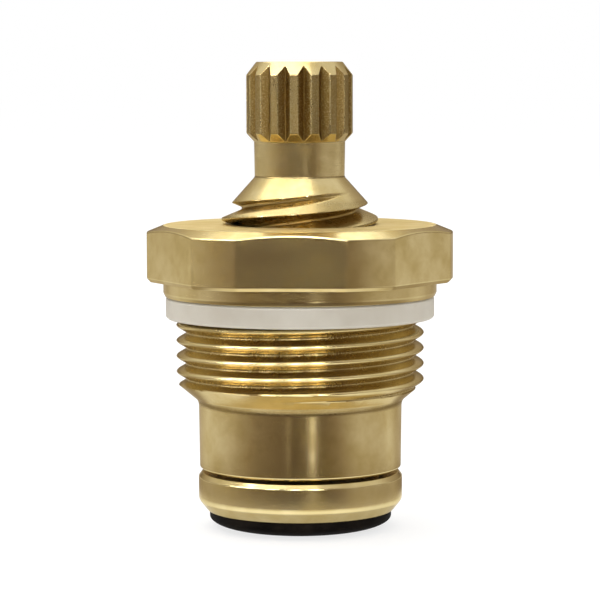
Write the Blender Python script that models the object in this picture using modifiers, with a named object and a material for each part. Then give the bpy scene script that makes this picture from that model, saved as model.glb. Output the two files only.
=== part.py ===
"""Basin tap stem: screw-down headwork with a splined spindle, a hexagonal bonnet and a rubber seat washer.

The stem stands on its seat washer, with its axis on Z and Z = 0 at the washer's lower face. Sizes are in
millimetres and become metres where meshes are made. The tap is drawn fully open.
"""

import math

import bmesh
import bpy
from mathutils import Matrix

for leftover in list(bpy.data.objects):
    bpy.data.objects.remove(leftover, do_unlink=True)

MILLIMETRE = 0.001
FULL_TURN = 2 * math.pi
MERGE_DISTANCE = 0.000001
SHARP_ANGLE = math.radians(30)

# Fits
SEATING_GAP = 0.3          # between pieces that rest on each other
PISTON_GAP = 0.4           # radial, piston to bore
RING_GAP = 0.2             # radial, sealing ring to bore
THREAD_GAP = 0.15          # axial, each flank of the lifting thread

# Facets
SEGMENTS = 36              # round the axis, and to a turn of thread
SMALL_SEGMENTS = 24        # round the washer screw and the sealing rings
CORD_SEGMENTS = 8          # round a sealing ring's cord
ROUNDING_STEPS = 4         # down the seat washer's lower edge

# Washer screw and the spigot that it closes
SCREW_RADIUS = 1.9
SCREW_LENGTH = 7.5
SCREW_HEAD_HEIGHT = 2.0
SCREW_HEAD_OVERLAP = 0.5   # of the head under the holder's web
SCREW_HEAD_CHAMFER = 0.3
SLOT_WIDTH = 1.0
SLOT_DEPTH = 0.9
SPIGOT_WALL = 1.0

# Seat washer
SEAT_SHOWING = 1.75        # rubber below the holder, with its gap
SEAT_EDGE_HEIGHT = 0.25    # straight side above the rounding
SEAT_FLAT_WIDTH = 1.3      # level ring round the screw's head
SEAT_INSET = 0.15          # inside the lip's outline

# Washer holder
HOLDER_HEIGHT = 4.02
HOLDER_WEB = 2.27
HOLDER_OVERHANG = 0.13     # beyond the barrel's end
HOLDER_TOP_CHAMFER = 0.35
LIP_HEIGHT = 1.18
LIP_TAPER = 0.97
LIP_WALL = 0.9

# Bonnet: barrel, thread, flange and hexagon in one piece of brass
OPEN_GAP = 0.36            # holder to barrel with the tap fully open
BARREL_LENGTH = 7.27
BARREL_WALL = 1.74
BARREL_TAPER = 0.09
BARREL_CHAMFER = 0.3
BORE_MOUTH_CHAMFER = 0.4
NOSE_LENGTH = 1.6
NOSE_STEP = 2.24           # from the barrel out to the thread
BODY_THREAD_RADIUS = 12.67
BODY_THREAD_LENGTH = 6.3
BODY_THREAD_PITCH = 1.5875
BODY_THREAD_DEPTH = 1.0
BODY_THREAD_FLAT = 0.2     # along the root
BODY_THREAD_PHASE = -1.488  # height of a root above the flange's lower face at angle 0
RELIEF_STEP = 0.27
FLANGE_THICKNESS = 1.55
FLANGE_OVERHANG = 0.25     # beyond the gasket
HEX_OVERHANG = 0.7         # of the flats beyond the flange
HEX_CORNER_STEP = 0.96     # from the flats out to the turned corners
HEX_HEIGHT = 5.6
HEX_TOP_MARGIN = 0.6
HEX_BOTTOM_MARGIN = 0.4
HEX_TOP_CHAMFER_ANGLE = math.radians(22)
HEX_BOTTOM_CHAMFER_ANGLE = math.radians(30)
NUT_DEPTH = 8.3            # length of the lifting thread in the bonnet
NUT_MOUTH_CHAMFER = 0.9

# Gasket under the flange
GASKET_THICKNESS = 2.05
GASKET_WIDTH = 2.05
GASKET_EDGE = 0.2
GASKET_THREAD_GAP = 0.1    # from the thread out to the lower face

# Spindle
PISTON_CHAMFER = 0.35
RING_CORD_RADIUS = 0.9
LOWER_RING_HEIGHT = 6.5    # above the piston's lower face
RING_SPACING = 4.4
LIFT_THREAD_STEP = 0.2     # from the piston in to the thread's crests
LIFT_THREAD_DEPTH = 2.05
LIFT_THREAD_STARTS = 2
LIFT_THREAD_PITCH = 2.25
LIFT_THREAD_FLAT = 0.3     # along the root and the crest
LIFT_THREAD_PHASE = -0.593  # height of a root above the bonnet at angle 0
LIFT_THREAD_SHOWING = 1.1  # full thread above the hexagon
LIFT_RELIEF_LENGTH = 1.8
CONE_LENGTH = 3.8
NECK_RADIUS = 4.6
NECK_TAPER = 0.05
NECK_LENGTH = 3.6
SPLINE_STEP = 0.78         # from the neck out to the splines
SPLINE_COUNT = 16
SPLINE_DEPTH = 0.71
SPLINE_LENGTH = 8.1
SPLINE_ANGLE = math.radians(20.05)
SPLINE_LOWER_CHAMFER = 0.85
SPLINE_UPPER_CHAMFER = 1.35
SPINDLE_TOP_STEP = 1.03    # from the splines in to the flat top
HANDLE_HOLE_RADIUS = 2.1
HANDLE_HOLE_DEPTH = 10.0
HANDLE_HOLE_CHAMFER = 0.4
DRILL_TIP_SLOPE = math.tan(math.radians(31))

# Radii that follow, from the body thread inwards
relief_radius = BODY_THREAD_RADIUS - BODY_THREAD_DEPTH - RELIEF_STEP
gasket_inner_radius = relief_radius + SEATING_GAP
gasket_radius = gasket_inner_radius + GASKET_WIDTH
gasket_face_radius = BODY_THREAD_RADIUS + GASKET_THREAD_GAP
flange_radius = gasket_radius + FLANGE_OVERHANG
hex_flat_radius = flange_radius + HEX_OVERHANG
hex_corner_radius = hex_flat_radius + HEX_CORNER_STEP
barrel_radius = BODY_THREAD_RADIUS - NOSE_STEP
barrel_end_radius = barrel_radius - BARREL_TAPER
bore_radius = barrel_end_radius - BARREL_WALL
holder_radius = barrel_end_radius + HOLDER_OVERHANG
lip_radius = holder_radius - LIP_TAPER
recess_radius = lip_radius - LIP_WALL
piston_radius = bore_radius - PISTON_GAP
ring_radius = bore_radius - RING_GAP - RING_CORD_RADIUS
ring_groove_radius = ring_radius - RING_CORD_RADIUS - SEATING_GAP
ring_groove_half_width = RING_CORD_RADIUS + SEATING_GAP
lift_radius = piston_radius - LIFT_THREAD_STEP
lift_root_radius = lift_radius - LIFT_THREAD_DEPTH
nut_root_radius = lift_radius + SEATING_GAP
nut_radius = lift_root_radius + SEATING_GAP

# Radii that follow, from the screw and the neck outwards
screw_hole_radius = SCREW_RADIUS + SEATING_GAP
spigot_radius = screw_hole_radius + SPIGOT_WALL
spigot_bore_radius = spigot_radius + SEATING_GAP
screw_head_radius = spigot_bore_radius + SCREW_HEAD_OVERLAP
seat_hole_radius = screw_head_radius + SEATING_GAP
seat_flat_radius = seat_hole_radius + SEAT_FLAT_WIDTH
neck_top_radius = NECK_RADIUS + NECK_TAPER
spline_radius = neck_top_radius + SPLINE_STEP
spindle_top_radius = spline_radius - SPINDLE_TOP_STEP

# Heights that follow from the stack
holder_bottom = SEAT_SHOWING
holder_top = holder_bottom + HOLDER_HEIGHT
web_bottom = holder_top - HOLDER_WEB
barrel_end = holder_top + OPEN_GAP
nose_bottom = barrel_end + BARREL_LENGTH
nose_top = nose_bottom + NOSE_LENGTH
body_thread_top = nose_top + BODY_THREAD_LENGTH
gasket_bottom = body_thread_top + SEATING_GAP
gasket_top = gasket_bottom + GASKET_THICKNESS
flange_bottom = gasket_top + SEATING_GAP
hex_bottom = flange_bottom + FLANGE_THICKNESS
hex_top = hex_bottom + HEX_HEIGHT
nut_bottom = hex_top - NUT_DEPTH
piston_bottom = holder_top + SEATING_GAP
piston_top = nut_bottom - SEATING_GAP
spigot_bottom = web_bottom - SEATING_GAP
screw_head_top = spigot_bottom - SEATING_GAP
lift_thread_bottom = piston_top + LIFT_RELIEF_LENGTH
cone_bottom = hex_top + LIFT_THREAD_SHOWING
cone_top = cone_bottom + CONE_LENGTH
spline_bottom = cone_top + NECK_LENGTH
spindle_top = spline_bottom + SPLINE_LENGTH

parts = bpy.data.collections.new("basin_tap_stem")
tools = bpy.data.collections.new("cutting_tools")
bpy.context.scene.collection.children.link(parts)
bpy.context.scene.collection.children.link(tools)


def material(name, colour, roughness, metallic):
    made = bpy.data.materials.new(name)
    made.use_nodes = True
    shader = made.node_tree.nodes["Principled BSDF"]
    shader.inputs["Base Color"].default_value = (*colour, 1.0)
    shader.inputs["Roughness"].default_value = roughness
    shader.inputs["Metallic"].default_value = metallic
    return made


def placed(name, mesh, collection):
    made = bpy.data.objects.new(name, mesh)
    collection.objects.link(made)
    if collection is tools:
        made.hide_render = True
        made.display_type = "WIRE"
    return made


def turned(name, outline, collection=parts, segments=SEGMENTS):
    """Outline points (radius, height) run out from the axis at the top, down the outside and back in."""
    mesh = bpy.data.meshes.new(name)
    points = [(radius * MILLIMETRE, 0.0, height * MILLIMETRE) for radius, height in outline]
    lines = [(index, index + 1) for index in range(len(points) - 1)]
    if outline[0][0] > 0:
        lines.append((len(points) - 1, 0))
    mesh.from_pydata(points, lines, [])
    made = placed(name, mesh, collection)
    spin = made.modifiers.new("turning", "SCREW")
    spin.steps = spin.render_steps = segments
    spin.use_merge_vertices = True
    spin.merge_threshold = MERGE_DISTANCE
    return made


def prism(name, corners, bottom, top, collection):
    """Corners (x, y) raised from one height to another."""
    mesh = bpy.data.meshes.new(name)
    shape = bmesh.new()
    ring = [shape.verts.new((x * MILLIMETRE, y * MILLIMETRE, bottom * MILLIMETRE)) for x, y in corners]
    base = shape.faces.new(ring)
    raised = bmesh.ops.extrude_face_region(shape, geom=[base])
    lifted = [item for item in raised["geom"] if isinstance(item, bmesh.types.BMVert)]
    bmesh.ops.translate(shape, verts=lifted, vec=(0, 0, (top - bottom) * MILLIMETRE))
    bmesh.ops.recalc_face_normals(shape, faces=shape.faces)
    shape.to_mesh(mesh)
    shape.free()
    return placed(name, mesh, collection)


def repeated_round(made, count):
    """Copies of the shape at equal angles round the axis, in one mesh."""
    shape = bmesh.new()
    shape.from_mesh(made.data)
    original = shape.verts[:] + shape.edges[:] + shape.faces[:]
    for index in range(1, count):
        copy = bmesh.ops.duplicate(shape, geom=original)
        corners = [item for item in copy["geom"] if isinstance(item, bmesh.types.BMVert)]
        turn = Matrix.Rotation(FULL_TURN * index / count, 3, "Z")
        bmesh.ops.rotate(shape, verts=corners, cent=(0, 0, 0), matrix=turn)
    shape.to_mesh(made.data)
    shape.free()


def combined(made, other, operation):
    step = made.modifiers.new(other.name, "BOOLEAN")
    step.operation = operation
    step.solver = "EXACT"
    step.object = other


def finished(made, look, parent=None):
    """Modifiers become the mesh, which is shaded smooth up to its real edges."""
    evaluated = made.evaluated_get(bpy.context.evaluated_depsgraph_get())
    mesh = bpy.data.meshes.new_from_object(evaluated)
    made.modifiers.clear()
    made.data = mesh
    mesh.name = made.name
    mesh.materials.clear()
    mesh.materials.append(look)
    mesh.shade_smooth()
    mesh.set_sharp_from_angle(angle=SHARP_ANGLE)
    made.parent = parent
    return made


def threading_tool(name, section, lead, starts, phase, bottom, top):
    """A section (radius, offset along the axis) swept up a right-hand helix for each start.

    Its facets fall half a step from those of the turned shapes, so that no edges of the two meet.
    """
    mesh = bpy.data.meshes.new(name)
    shape = bmesh.new()
    step = FULL_TURN / SEGMENTS
    rise = lead / SEGMENTS
    for start in range(starts):
        root_height = phase + start * lead / starts
        first = math.ceil((bottom - root_height) / rise) + 0.5
        steps = math.floor((top - root_height) / rise - first)
        turn = first * step
        corners = [
            shape.verts.new((radius * math.cos(turn) * MILLIMETRE, radius * math.sin(turn) * MILLIMETRE,
                             (root_height + first * rise + offset) * MILLIMETRE))
            for radius, offset in section
        ]
        bmesh.ops.spin(shape, geom=[shape.faces.new(corners)], cent=(0, 0, 0), axis=(0, 0, 1),
                       dvec=(0, 0, rise * MILLIMETRE), angle=steps * step, steps=steps)
    bmesh.ops.recalc_face_normals(shape, faces=shape.faces)
    shape.to_mesh(mesh)
    shape.free()
    return placed(name, mesh, tools)


def axis_empty(name, parent=None):
    made = bpy.data.objects.new(name, None)
    made.empty_display_size = bore_radius * MILLIMETRE
    parts.objects.link(made)
    made.parent = parent
    return made


def hexagon():
    corner = hex_flat_radius / math.cos(math.pi / 6)
    corners = [(corner * math.cos(k * math.pi / 3), corner * math.sin(k * math.pi / 3)) for k in range(6)]
    block = prism("hexagon", corners, hex_bottom, hex_top, tools)
    top_start = hex_flat_radius - HEX_TOP_MARGIN
    bottom_start = hex_flat_radius - HEX_BOTTOM_MARGIN
    reach = hex_corner_radius
    facing = turned("hexagon_facing", [
        (0, hex_top + HEX_HEIGHT),
        (0.5 * top_start, hex_top + HEX_HEIGHT),
        (top_start, hex_top),
        (reach, hex_top - (reach - top_start) * math.tan(HEX_TOP_CHAMFER_ANGLE)),
        (reach, hex_bottom + (reach - bottom_start) * math.tan(HEX_BOTTOM_CHAMFER_ANGLE)),
        (bottom_start, hex_bottom),
        (0.5 * bottom_start, hex_bottom - HEX_HEIGHT),
        (0, hex_bottom - HEX_HEIGHT),
    ], tools)
    combined(block, facing, "INTERSECT")
    return block


def bonnet_blank():
    return turned("bonnet", [
        (0, hex_top - HEX_HEIGHT / 2),
        (flange_radius, hex_top - HEX_HEIGHT / 2),
        (flange_radius, flange_bottom),
        (relief_radius, flange_bottom),
        (relief_radius, body_thread_top + RELIEF_STEP),
        (BODY_THREAD_RADIUS - BODY_THREAD_DEPTH / 2, body_thread_top),
        (BODY_THREAD_RADIUS, body_thread_top - BODY_THREAD_DEPTH / 2),
        (BODY_THREAD_RADIUS, nose_top),
        (barrel_radius, nose_bottom),
        (barrel_end_radius, barrel_end + BARREL_CHAMFER),
        (barrel_end_radius - BARREL_CHAMFER, barrel_end),
        (0, barrel_end),
    ])


def bonnet_bore():
    return turned("bonnet_bore", [
        (0, hex_top + HEX_HEIGHT),
        (nut_radius + NUT_MOUTH_CHAMFER + HEX_HEIGHT, hex_top + HEX_HEIGHT),
        (nut_radius, hex_top - NUT_MOUTH_CHAMFER),
        (nut_radius, nut_bottom),
        (bore_radius, nut_bottom),
        (bore_radius, barrel_end + BORE_MOUTH_CHAMFER),
        (bore_radius + BORE_MOUTH_CHAMFER + OPEN_GAP, barrel_end - OPEN_GAP),
        (0, barrel_end - OPEN_GAP),
    ], tools)


def body_thread_tool():
    """Sixty-degree V groove of the tap body's thread, from below the nose to inside the relief."""
    root = BODY_THREAD_RADIUS - BODY_THREAD_DEPTH
    mouth = BODY_THREAD_RADIUS + RELIEF_STEP / 2
    half_root = BODY_THREAD_FLAT / 2
    half_mouth = half_root + (mouth - root) * math.tan(math.pi / 6)
    return threading_tool("body_thread_groove",
                          [(mouth, -half_mouth), (mouth, half_mouth), (root, half_root), (root, -half_root)],
                          BODY_THREAD_PITCH, 1, flange_bottom + BODY_THREAD_PHASE,
                          nose_bottom, body_thread_top + BODY_THREAD_PITCH / 2)


def lift_flank(radius):
    """Half the width of the spindle's groove at a radius: it widens evenly from root to crest."""
    half_root = LIFT_THREAD_FLAT / 2
    half_crest = (LIFT_THREAD_PITCH - LIFT_THREAD_FLAT) / 2
    return half_root + (half_crest - half_root) * (radius - lift_root_radius) / LIFT_THREAD_DEPTH


def spindle_thread_tool():
    root = lift_root_radius
    mouth = lift_radius + THREAD_GAP
    half_root = lift_flank(root)
    half_mouth = lift_flank(mouth)
    return threading_tool("spindle_thread_grooves",
                          [(mouth, -half_mouth), (mouth, half_mouth), (root, half_root), (root, -half_root)],
                          LIFT_THREAD_PITCH * LIFT_THREAD_STARTS, LIFT_THREAD_STARTS,
                          hex_top + LIFT_THREAD_PHASE, piston_top + half_mouth, cone_top)


def nut_thread_tool():
    """The spindle's ridge grown by the flank gap, cut into the bonnet's bore."""
    root = nut_root_radius
    mouth = nut_radius - THREAD_GAP
    half_root = LIFT_THREAD_PITCH / 2 - lift_flank(lift_radius) + THREAD_GAP
    half_mouth = LIFT_THREAD_PITCH / 2 - lift_flank(mouth) + THREAD_GAP
    return threading_tool("bonnet_thread_grooves",
                          [(root, -half_root), (root, half_root), (mouth, half_mouth), (mouth, -half_mouth)],
                          LIFT_THREAD_PITCH * LIFT_THREAD_STARTS, LIFT_THREAD_STARTS,
                          hex_top + LIFT_THREAD_PHASE + LIFT_THREAD_PITCH / 2,
                          nut_bottom - LIFT_THREAD_PITCH, hex_top + LIFT_THREAD_PITCH)


def ring_groove(height):
    """Outline steps of a square groove in the piston, centred at a height above its lower face."""
    middle = piston_bottom + height
    upper = middle + ring_groove_half_width
    lower = middle - ring_groove_half_width
    return [
        (piston_radius, upper),
        (ring_groove_radius, upper),
        (ring_groove_radius, lower),
        (piston_radius, lower),
    ]


def spindle_blank():
    handle_hole_end = spindle_top - HANDLE_HOLE_DEPTH
    screw_hole_end = screw_head_top + SCREW_LENGTH + SEATING_GAP
    return turned("spindle", [
        (0, handle_hole_end - HANDLE_HOLE_RADIUS * DRILL_TIP_SLOPE),
        (HANDLE_HOLE_RADIUS, handle_hole_end),
        (HANDLE_HOLE_RADIUS, spindle_top - HANDLE_HOLE_CHAMFER),
        (HANDLE_HOLE_RADIUS + HANDLE_HOLE_CHAMFER, spindle_top),
        (spindle_top_radius, spindle_top),
        (spline_radius, spindle_top - SPLINE_UPPER_CHAMFER),
        (spline_radius, spline_bottom + SPLINE_LOWER_CHAMFER),
        (neck_top_radius, spline_bottom),
        (NECK_RADIUS, cone_top),
        (lift_radius, cone_bottom),
        (lift_radius, lift_thread_bottom + LIFT_THREAD_DEPTH / 2),
        (lift_root_radius, lift_thread_bottom),
        (lift_root_radius, piston_top),
        (piston_radius - PISTON_CHAMFER, piston_top),
        (piston_radius, piston_top - PISTON_CHAMFER),
        *ring_groove(LOWER_RING_HEIGHT + RING_SPACING),
        *ring_groove(LOWER_RING_HEIGHT),
        (piston_radius, piston_bottom + PISTON_CHAMFER),
        (piston_radius - PISTON_CHAMFER, piston_bottom),
        (spigot_radius, piston_bottom),
        (spigot_radius, spigot_bottom),
        (screw_hole_radius, spigot_bottom),
        (screw_hole_radius, screw_hole_end),
        (0, screw_hole_end + screw_hole_radius * DRILL_TIP_SLOPE),
    ])


def spline_grooves():
    """Square-cornered V grooves between the splines, wider than the head so that they run out of it."""
    root = spline_radius - SPLINE_DEPTH
    mouth = spline_radius + SPLINE_DEPTH
    made = prism("spline_grooves", [(root, 0), (mouth, SPLINE_DEPTH * 2), (mouth, -SPLINE_DEPTH * 2)],
                 spline_bottom - NECK_TAPER, spindle_top + SPLINE_UPPER_CHAMFER, tools)
    repeated_round(made, SPLINE_COUNT)
    made.rotation_euler.z = SPLINE_ANGLE + math.pi / SPLINE_COUNT
    return made


def sealing_ring(name, height):
    middle = piston_bottom + height
    turns = [FULL_TURN * (0.5 + index) / CORD_SEGMENTS for index in range(CORD_SEGMENTS)]
    return turned(name, [
        (ring_radius + RING_CORD_RADIUS * math.sin(turn), middle + RING_CORD_RADIUS * math.cos(turn))
        for turn in turns
    ], segments=SMALL_SEGMENTS)


def flange_gasket():
    """Ring seated in the relief, bevelled inside so that its lower face lies clear of the thread."""
    return turned("flange_gasket", [
        (gasket_inner_radius, gasket_top),
        (gasket_radius - GASKET_EDGE, gasket_top),
        (gasket_radius, gasket_top - GASKET_EDGE),
        (gasket_radius, gasket_bottom + GASKET_EDGE),
        (gasket_radius - GASKET_EDGE, gasket_bottom),
        (gasket_face_radius, gasket_bottom),
        (gasket_inner_radius, gasket_bottom + gasket_face_radius - gasket_inner_radius),
    ])


def washer_holder():
    return turned("washer_holder", [
        (spigot_bore_radius, holder_top),
        (holder_radius - HOLDER_TOP_CHAMFER, holder_top),
        (holder_radius, holder_top - HOLDER_TOP_CHAMFER),
        (holder_radius, holder_bottom + LIP_HEIGHT),
        (lip_radius, holder_bottom),
        (recess_radius, holder_bottom),
        (recess_radius, web_bottom),
        (spigot_bore_radius, web_bottom),
    ])


def seat_washer():
    """Flat rubber ring with a rounded lower edge and a narrower shank that fills the holder."""
    outer = lip_radius - SEAT_INSET
    shank = recess_radius - SEATING_GAP
    shoulder = holder_bottom - SEATING_GAP
    rounding = shoulder - SEAT_EDGE_HEIGHT
    turns = [math.pi / 2 * (1 - index / ROUNDING_STEPS) for index in range(ROUNDING_STEPS + 1)]
    rounded = [
        (seat_flat_radius + (outer - seat_flat_radius) * math.sin(turn), rounding * (1 - math.cos(turn)))
        for turn in turns
    ]
    return turned("seat_washer", [
        (seat_hole_radius, web_bottom - SEATING_GAP),
        (shank, web_bottom - SEATING_GAP),
        (shank, shoulder),
        (outer, shoulder),
        *rounded,
        (seat_hole_radius, 0),
    ])


def washer_screw():
    head_bottom = screw_head_top - SCREW_HEAD_HEIGHT
    made = turned("washer_screw", [
        (0, screw_head_top + SCREW_LENGTH),
        (SCREW_RADIUS - SCREW_HEAD_CHAMFER, screw_head_top + SCREW_LENGTH),
        (SCREW_RADIUS, screw_head_top + SCREW_LENGTH - SCREW_HEAD_CHAMFER),
        (SCREW_RADIUS, screw_head_top),
        (screw_head_radius, screw_head_top),
        (screw_head_radius, head_bottom + SCREW_HEAD_CHAMFER),
        (screw_head_radius - SCREW_HEAD_CHAMFER, head_bottom),
        (0, head_bottom),
    ], segments=SMALL_SEGMENTS)
    reach = screw_head_radius + SEATING_GAP
    half = SLOT_WIDTH / 2
    slot = prism("screw_slot", [(-reach, -half), (reach, -half), (reach, half), (-reach, half)],
                 head_bottom - SLOT_DEPTH, head_bottom + SLOT_DEPTH, tools)
    combined(made, slot, "DIFFERENCE")
    return made


brass = material("brass", (0.52, 0.40, 0.17), 0.28, 1.0)
nylon = material("white_nylon", (0.78, 0.74, 0.68), 0.45, 0.0)
rubber = material("black_rubber", (0.02, 0.018, 0.017), 0.6, 0.0)

washer_lift = axis_empty("washer_lift")
spindle_turn = axis_empty("spindle_turn", washer_lift)

bonnet = bonnet_blank()
combined(bonnet, hexagon(), "UNION")
combined(bonnet, bonnet_bore(), "DIFFERENCE")
combined(bonnet, body_thread_tool(), "DIFFERENCE")
combined(bonnet, nut_thread_tool(), "DIFFERENCE")

spindle = spindle_blank()
combined(spindle, spline_grooves(), "DIFFERENCE")
combined(spindle, spindle_thread_tool(), "DIFFERENCE")

finished(bonnet, brass)
finished(flange_gasket(), nylon)
finished(washer_holder(), brass, washer_lift)
finished(seat_washer(), rubber, washer_lift)
finished(spindle, brass, spindle_turn)
finished(sealing_ring("lower_o_ring", LOWER_RING_HEIGHT), rubber, spindle_turn)
finished(sealing_ring("upper_o_ring", LOWER_RING_HEIGHT + RING_SPACING), rubber, spindle_turn)
finished(washer_screw(), brass, spindle_turn)
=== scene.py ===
import math
import bpy
import bmesh
import numpy as np
from mathutils import Matrix, Vector


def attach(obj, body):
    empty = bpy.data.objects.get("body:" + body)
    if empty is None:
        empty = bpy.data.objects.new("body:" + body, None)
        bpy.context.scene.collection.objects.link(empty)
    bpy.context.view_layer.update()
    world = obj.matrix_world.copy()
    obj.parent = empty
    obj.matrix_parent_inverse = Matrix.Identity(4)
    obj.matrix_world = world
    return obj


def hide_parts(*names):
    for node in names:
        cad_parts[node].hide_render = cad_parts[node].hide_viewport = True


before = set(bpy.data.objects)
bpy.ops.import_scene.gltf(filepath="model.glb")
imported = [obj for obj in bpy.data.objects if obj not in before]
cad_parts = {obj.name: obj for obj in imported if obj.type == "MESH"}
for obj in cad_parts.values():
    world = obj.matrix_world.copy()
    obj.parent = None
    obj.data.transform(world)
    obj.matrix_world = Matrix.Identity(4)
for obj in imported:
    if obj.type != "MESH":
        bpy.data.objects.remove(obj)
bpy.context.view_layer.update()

# Every shape is worked out in millimetres as radius and height round the stem's own axis,
# and the mesh is made in metres.
millimetre = 0.001
mergeReach = 2e-7                   # points nearer than this, in metres, become one
sharpAngle = math.radians(38)       # an edge that bends more than this is shaded sharp
easeShare = 0.36                    # the most of a straight run that the ease at its end takes
easeFlat = 1.3                      # how far out the row that keeps a run flat is, in eases
underStep = 0.01                    # a thread's radius grows by more than this on undersides


def spacedTurn(breaks, step):
    # One whole turn in degrees: it is cut at the breaks, and each stretch between two of
    # them is shared out in equal steps no longer than the given one.
    stretches = [
        np.linspace(start, end, max(1, math.ceil((end - start) / step - 1e-6)), endpoint=False)
        for start, end in zip(breaks[:-1], breaks[1:])
    ]
    return np.radians(np.concatenate(stretches + [[breaks[-1]]]))


def softerLess(first, second, width):
    # The lesser of two values, eased over the width: a parabola bridges the crossing.
    share = np.clip(0.5 + 0.5 * (second - first) / width, 0, 1)
    return second * (1 - share) + first * share - width * share * (1 - share)


def softerMore(first, second, width):
    return -softerLess(-first, -second, width)


def easedProfile(turn, corners, steps=4):
    # Corners are (radius, height, ease), each a number or one value for each angle.
    # A corner between two straight runs becomes a parabola that leaves the first run and
    # joins the next at the ease distance. One more row each side keeps the runs flat.
    # Outer bends are marked as worn, and inner bends as dirty and painted as shade.
    spread = np.ones(len(turn))
    points = [np.stack([radius * spread, height * spread], axis=-1)
              for radius, height, ease in corners]
    rows = []
    for place, (radius, height, ease) in enumerate(corners):
        corner = points[place]
        if not ease or place in (0, len(corners) - 1):
            rows.append(np.concatenate([corner, 0 * corner], axis=-1))
            continue
        back = points[place - 1] - corner
        ahead = points[place + 1] - corner
        backLength = np.linalg.norm(back, axis=-1, keepdims=True)
        aheadLength = np.linalg.norm(ahead, axis=-1, keepdims=True)
        reach = np.minimum(ease, easeShare * np.minimum(backLength, aheadLength))
        back = back / np.maximum(backLength, 1e-9)
        ahead = ahead / np.maximum(aheadLength, 1e-9)
        bend = ahead[:, 0] * back[:, 1] - ahead[:, 1] * back[:, 0]
        bends = np.stack([np.maximum(bend, 0), np.maximum(-bend, 0)], axis=-1)
        rows.append(np.concatenate([corner + easeFlat * reach * back, 0 * corner], axis=-1))
        for share in np.linspace(0, 1, steps + 1):
            eased = corner + reach * ((1 - share) ** 2 * back + share ** 2 * ahead)
            rows.append(np.concatenate([eased, 4 * share * (1 - share) * bends], axis=-1))
        rows.append(np.concatenate([corner + easeFlat * reach * ahead, 0 * corner], axis=-1))
    return np.array(rows)


def threadRows(turn, lead, rowsToLead, low, high, radiusAt, wearAndShadeAt):
    # A thread as rows that climb by the lead in one turn: height = row + lead times the
    # share of the turn, held between the two ends, and radius = radiusAt(height, angle).
    # A ridge's underside is where the radius grows from row to row.
    rows = np.arange(low - lead, high + lead / rowsToLead, lead / rowsToLead)
    height = np.clip(rows[:, None] + lead * turn / (2 * math.pi), low, high)
    radius = radiusAt(height, turn)
    under = np.gradient(radius, axis=0) > underStep
    worn, grimyShaded = wearAndShadeAt(radius, height, under)
    return np.stack([radius, height, worn, grimyShaded], axis=-1)


def meshFromGrids(name, turn, grids, materials, fill=None):
    # Point = (radius cos angle, radius sin angle, height). Neighbouring rows and angles
    # make the faces, and points that fall together are merged, which closes seams and poles.
    points, marks, faces, start = [], [], [], 0
    for grid in grids:
        rows, columns = grid.shape[:2]
        around = np.stack([grid[..., 0] * np.cos(turn), grid[..., 0] * np.sin(turn), grid[..., 1]],
                          axis=-1)
        points.append(around.reshape(-1, 3) * millimetre)
        marks.append(grid[..., 2:4].reshape(-1, 2))
        index = start + np.arange(rows * columns).reshape(rows, columns)
        faces.append(np.stack([index[:-1, :-1], index[:-1, 1:], index[1:, 1:], index[1:, :-1]],
                              axis=-1).reshape(-1, 4))
        start += rows * columns
    points, marks, faces = np.concatenate(points), np.concatenate(marks), np.concatenate(faces)
    mesh = bpy.data.meshes.new(name)
    mesh.from_pydata(points, [], faces)
    for column, title in enumerate(("wearAndHighlight", "grimeAndShade")):
        attribute = mesh.attributes.new(title, "FLOAT", "POINT")
        attribute.data.foreach_set("value", marks[:, column].astype(np.float32))
    shape = bmesh.new()
    shape.from_mesh(mesh)
    bmesh.ops.remove_doubles(shape, verts=shape.verts, dist=mergeReach)
    bmesh.ops.recalc_face_normals(shape, faces=shape.faces)
    openEdges = sum(not edge.is_manifold for edge in shape.edges)
    shape.to_mesh(mesh)
    shape.free()
    mesh.shade_smooth()
    mesh.set_sharp_from_angle(angle=sharpAngle)
    for material in materials:
        mesh.materials.append(material)
    if fill is not None:
        centres = np.empty(len(mesh.polygons) * 3)
        mesh.polygons.foreach_get("center", centres)
        normals = np.empty(len(mesh.polygons) * 3)
        mesh.polygons.foreach_get("normal", normals)
        slots = fill(centres.reshape(-1, 3) / millimetre, normals.reshape(-1, 3))
        mesh.polygons.foreach_set("material_index", slots)
    made = bpy.data.objects.new(name, mesh)
    bpy.context.scene.collection.objects.link(made)
    mesh.calc_loop_triangles()
    print(name, len(mesh.loop_triangles), "triangles,", openEdges, "open edges")
    return made


def addNode(tree, kind, sockets, **settings):
    # One node: sockets hold a plain value or another node's output.
    node = tree.nodes.new(kind)
    for setting, value in settings.items():
        setattr(node, setting, value)
    for socket, value in sockets.items():
        if isinstance(value, bpy.types.NodeSocket):
            tree.links.new(value, node.inputs[socket])
        else:
            node.inputs[socket].default_value = value
    return node


def noiseNode(tree, place, scale, detail, roughness=0.5):
    sockets = {"Vector": place, "Scale": scale, "Detail": detail, "Roughness": roughness}
    return addNode(tree, "ShaderNodeTexNoise", sockets).outputs["Fac"]


def rangeNode(tree, value, source, target=(0, 1)):
    # The value's source range becomes the target range, and is held at its ends.
    sockets = {"Value": value, "From Min": source[0], "From Max": source[1],
               "To Min": target[0], "To Max": target[1]}
    return addNode(tree, "ShaderNodeMapRange", sockets).outputs["Result"]


def mathNode(tree, operation, *values, **settings):
    node = addNode(tree, "ShaderNodeMath", dict(enumerate(values)), operation=operation, **settings)
    return node.outputs[0]


def vectorNode(tree, operation, *values):
    node = addNode(tree, "ShaderNodeVectorMath", dict(enumerate(values)), operation=operation)
    return node.outputs


def mixNode(tree, share, first, second):
    return addNode(tree, "ShaderNodeMix", {"Factor": share, "A": first, "B": second},
                   data_type="RGBA").outputs["Result"]


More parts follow.
